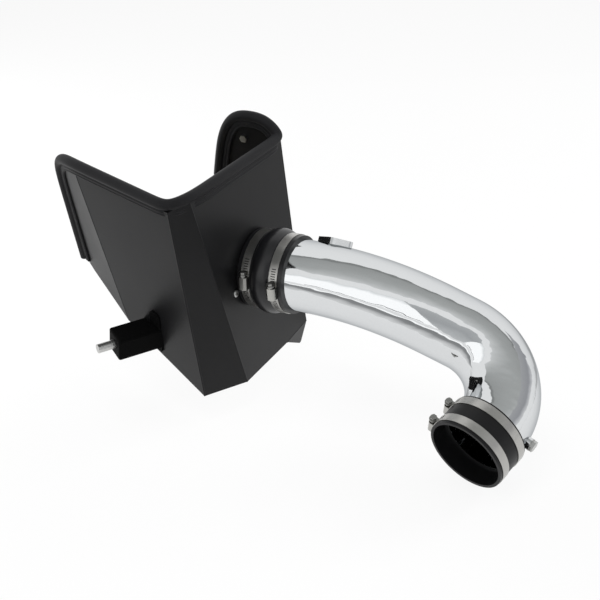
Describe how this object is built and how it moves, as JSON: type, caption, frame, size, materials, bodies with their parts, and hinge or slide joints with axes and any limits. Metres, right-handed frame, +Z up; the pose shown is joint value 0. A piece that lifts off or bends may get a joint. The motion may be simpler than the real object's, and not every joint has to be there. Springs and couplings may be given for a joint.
{
  "type": "car air intake",
  "caption": "Car air intake: polished bent duct on a folded heat shield with rubber hood seal, hump hose, throttle hose, worm clamps and a cone filter behind the shield.",
  "frame": {"origin": "centre of the bounding box's underside", "axes": "+X out of the shield's front panel along the duct's first straight, +Z up"},
  "size_m": [0.6986, 0.3298, 0.4152],
  "materials": {
    "shield_coat": "satin powder coat",
    "seal_rubber": "matte",
    "bracket_coat": "gloss",
    "zinc_steel": "bright zinc",
    "stainless": "brushed",
    "polished_aluminium": "mirror polished",
    "hose_rubber": "satin",
    "filter_rubber": "matte",
    "filter_cotton": "dry pleated cotton",
    "cast_aluminium": "machined"
  },
  "bodies": {
    "root": {"adapter_nuts": "zinc_steel", "adapter_screws": "zinc_steel", "bracket_nuts": "zinc_steel", "bracket_screws": "zinc_steel", "clamp_a_band": "stainless", "clamp_a_housing": "stainless", "clamp_a_screw": "zinc_steel", "clamp_b_band": "stainless", "clamp_b_housing": "stainless", "clamp_b_screw": "zinc_steel", "clamp_c_band": "stainless", "clamp_c_housing": "stainless", "clamp_c_screw": "zinc_steel", "clamp_d_band": "stainless", "clamp_d_housing": "stainless", "clamp_d_screw": "zinc_steel", "clamp_f_band": "stainless", "clamp_f_housing": "stainless", "clamp_f_screw": "zinc_steel", "filter_adapter": "cast_aluminium", "filter_base": "filter_rubber", "filter_cap": "filter_rubber", "filter_media": "filter_cotton", "filter_mesh": "zinc_steel", "heat_shield": "shield_coat", "hood_seal": "seal_rubber", "hump_hose": "hose_rubber", "intake_tube": "polished_aluminium", "mount_bracket": "bracket_coat", "mount_stud": "zinc_steel", "sensor_pad": "polished_aluminium", "stud_nut": "zinc_steel", "throttle_hose": "hose_rubber", "vent_fitting": "polished_aluminium", "vent_plug": "zinc_steel", "wing_bolt": "zinc_steel", "wing_nut": "zinc_steel"}
  },
  "joints": []
}
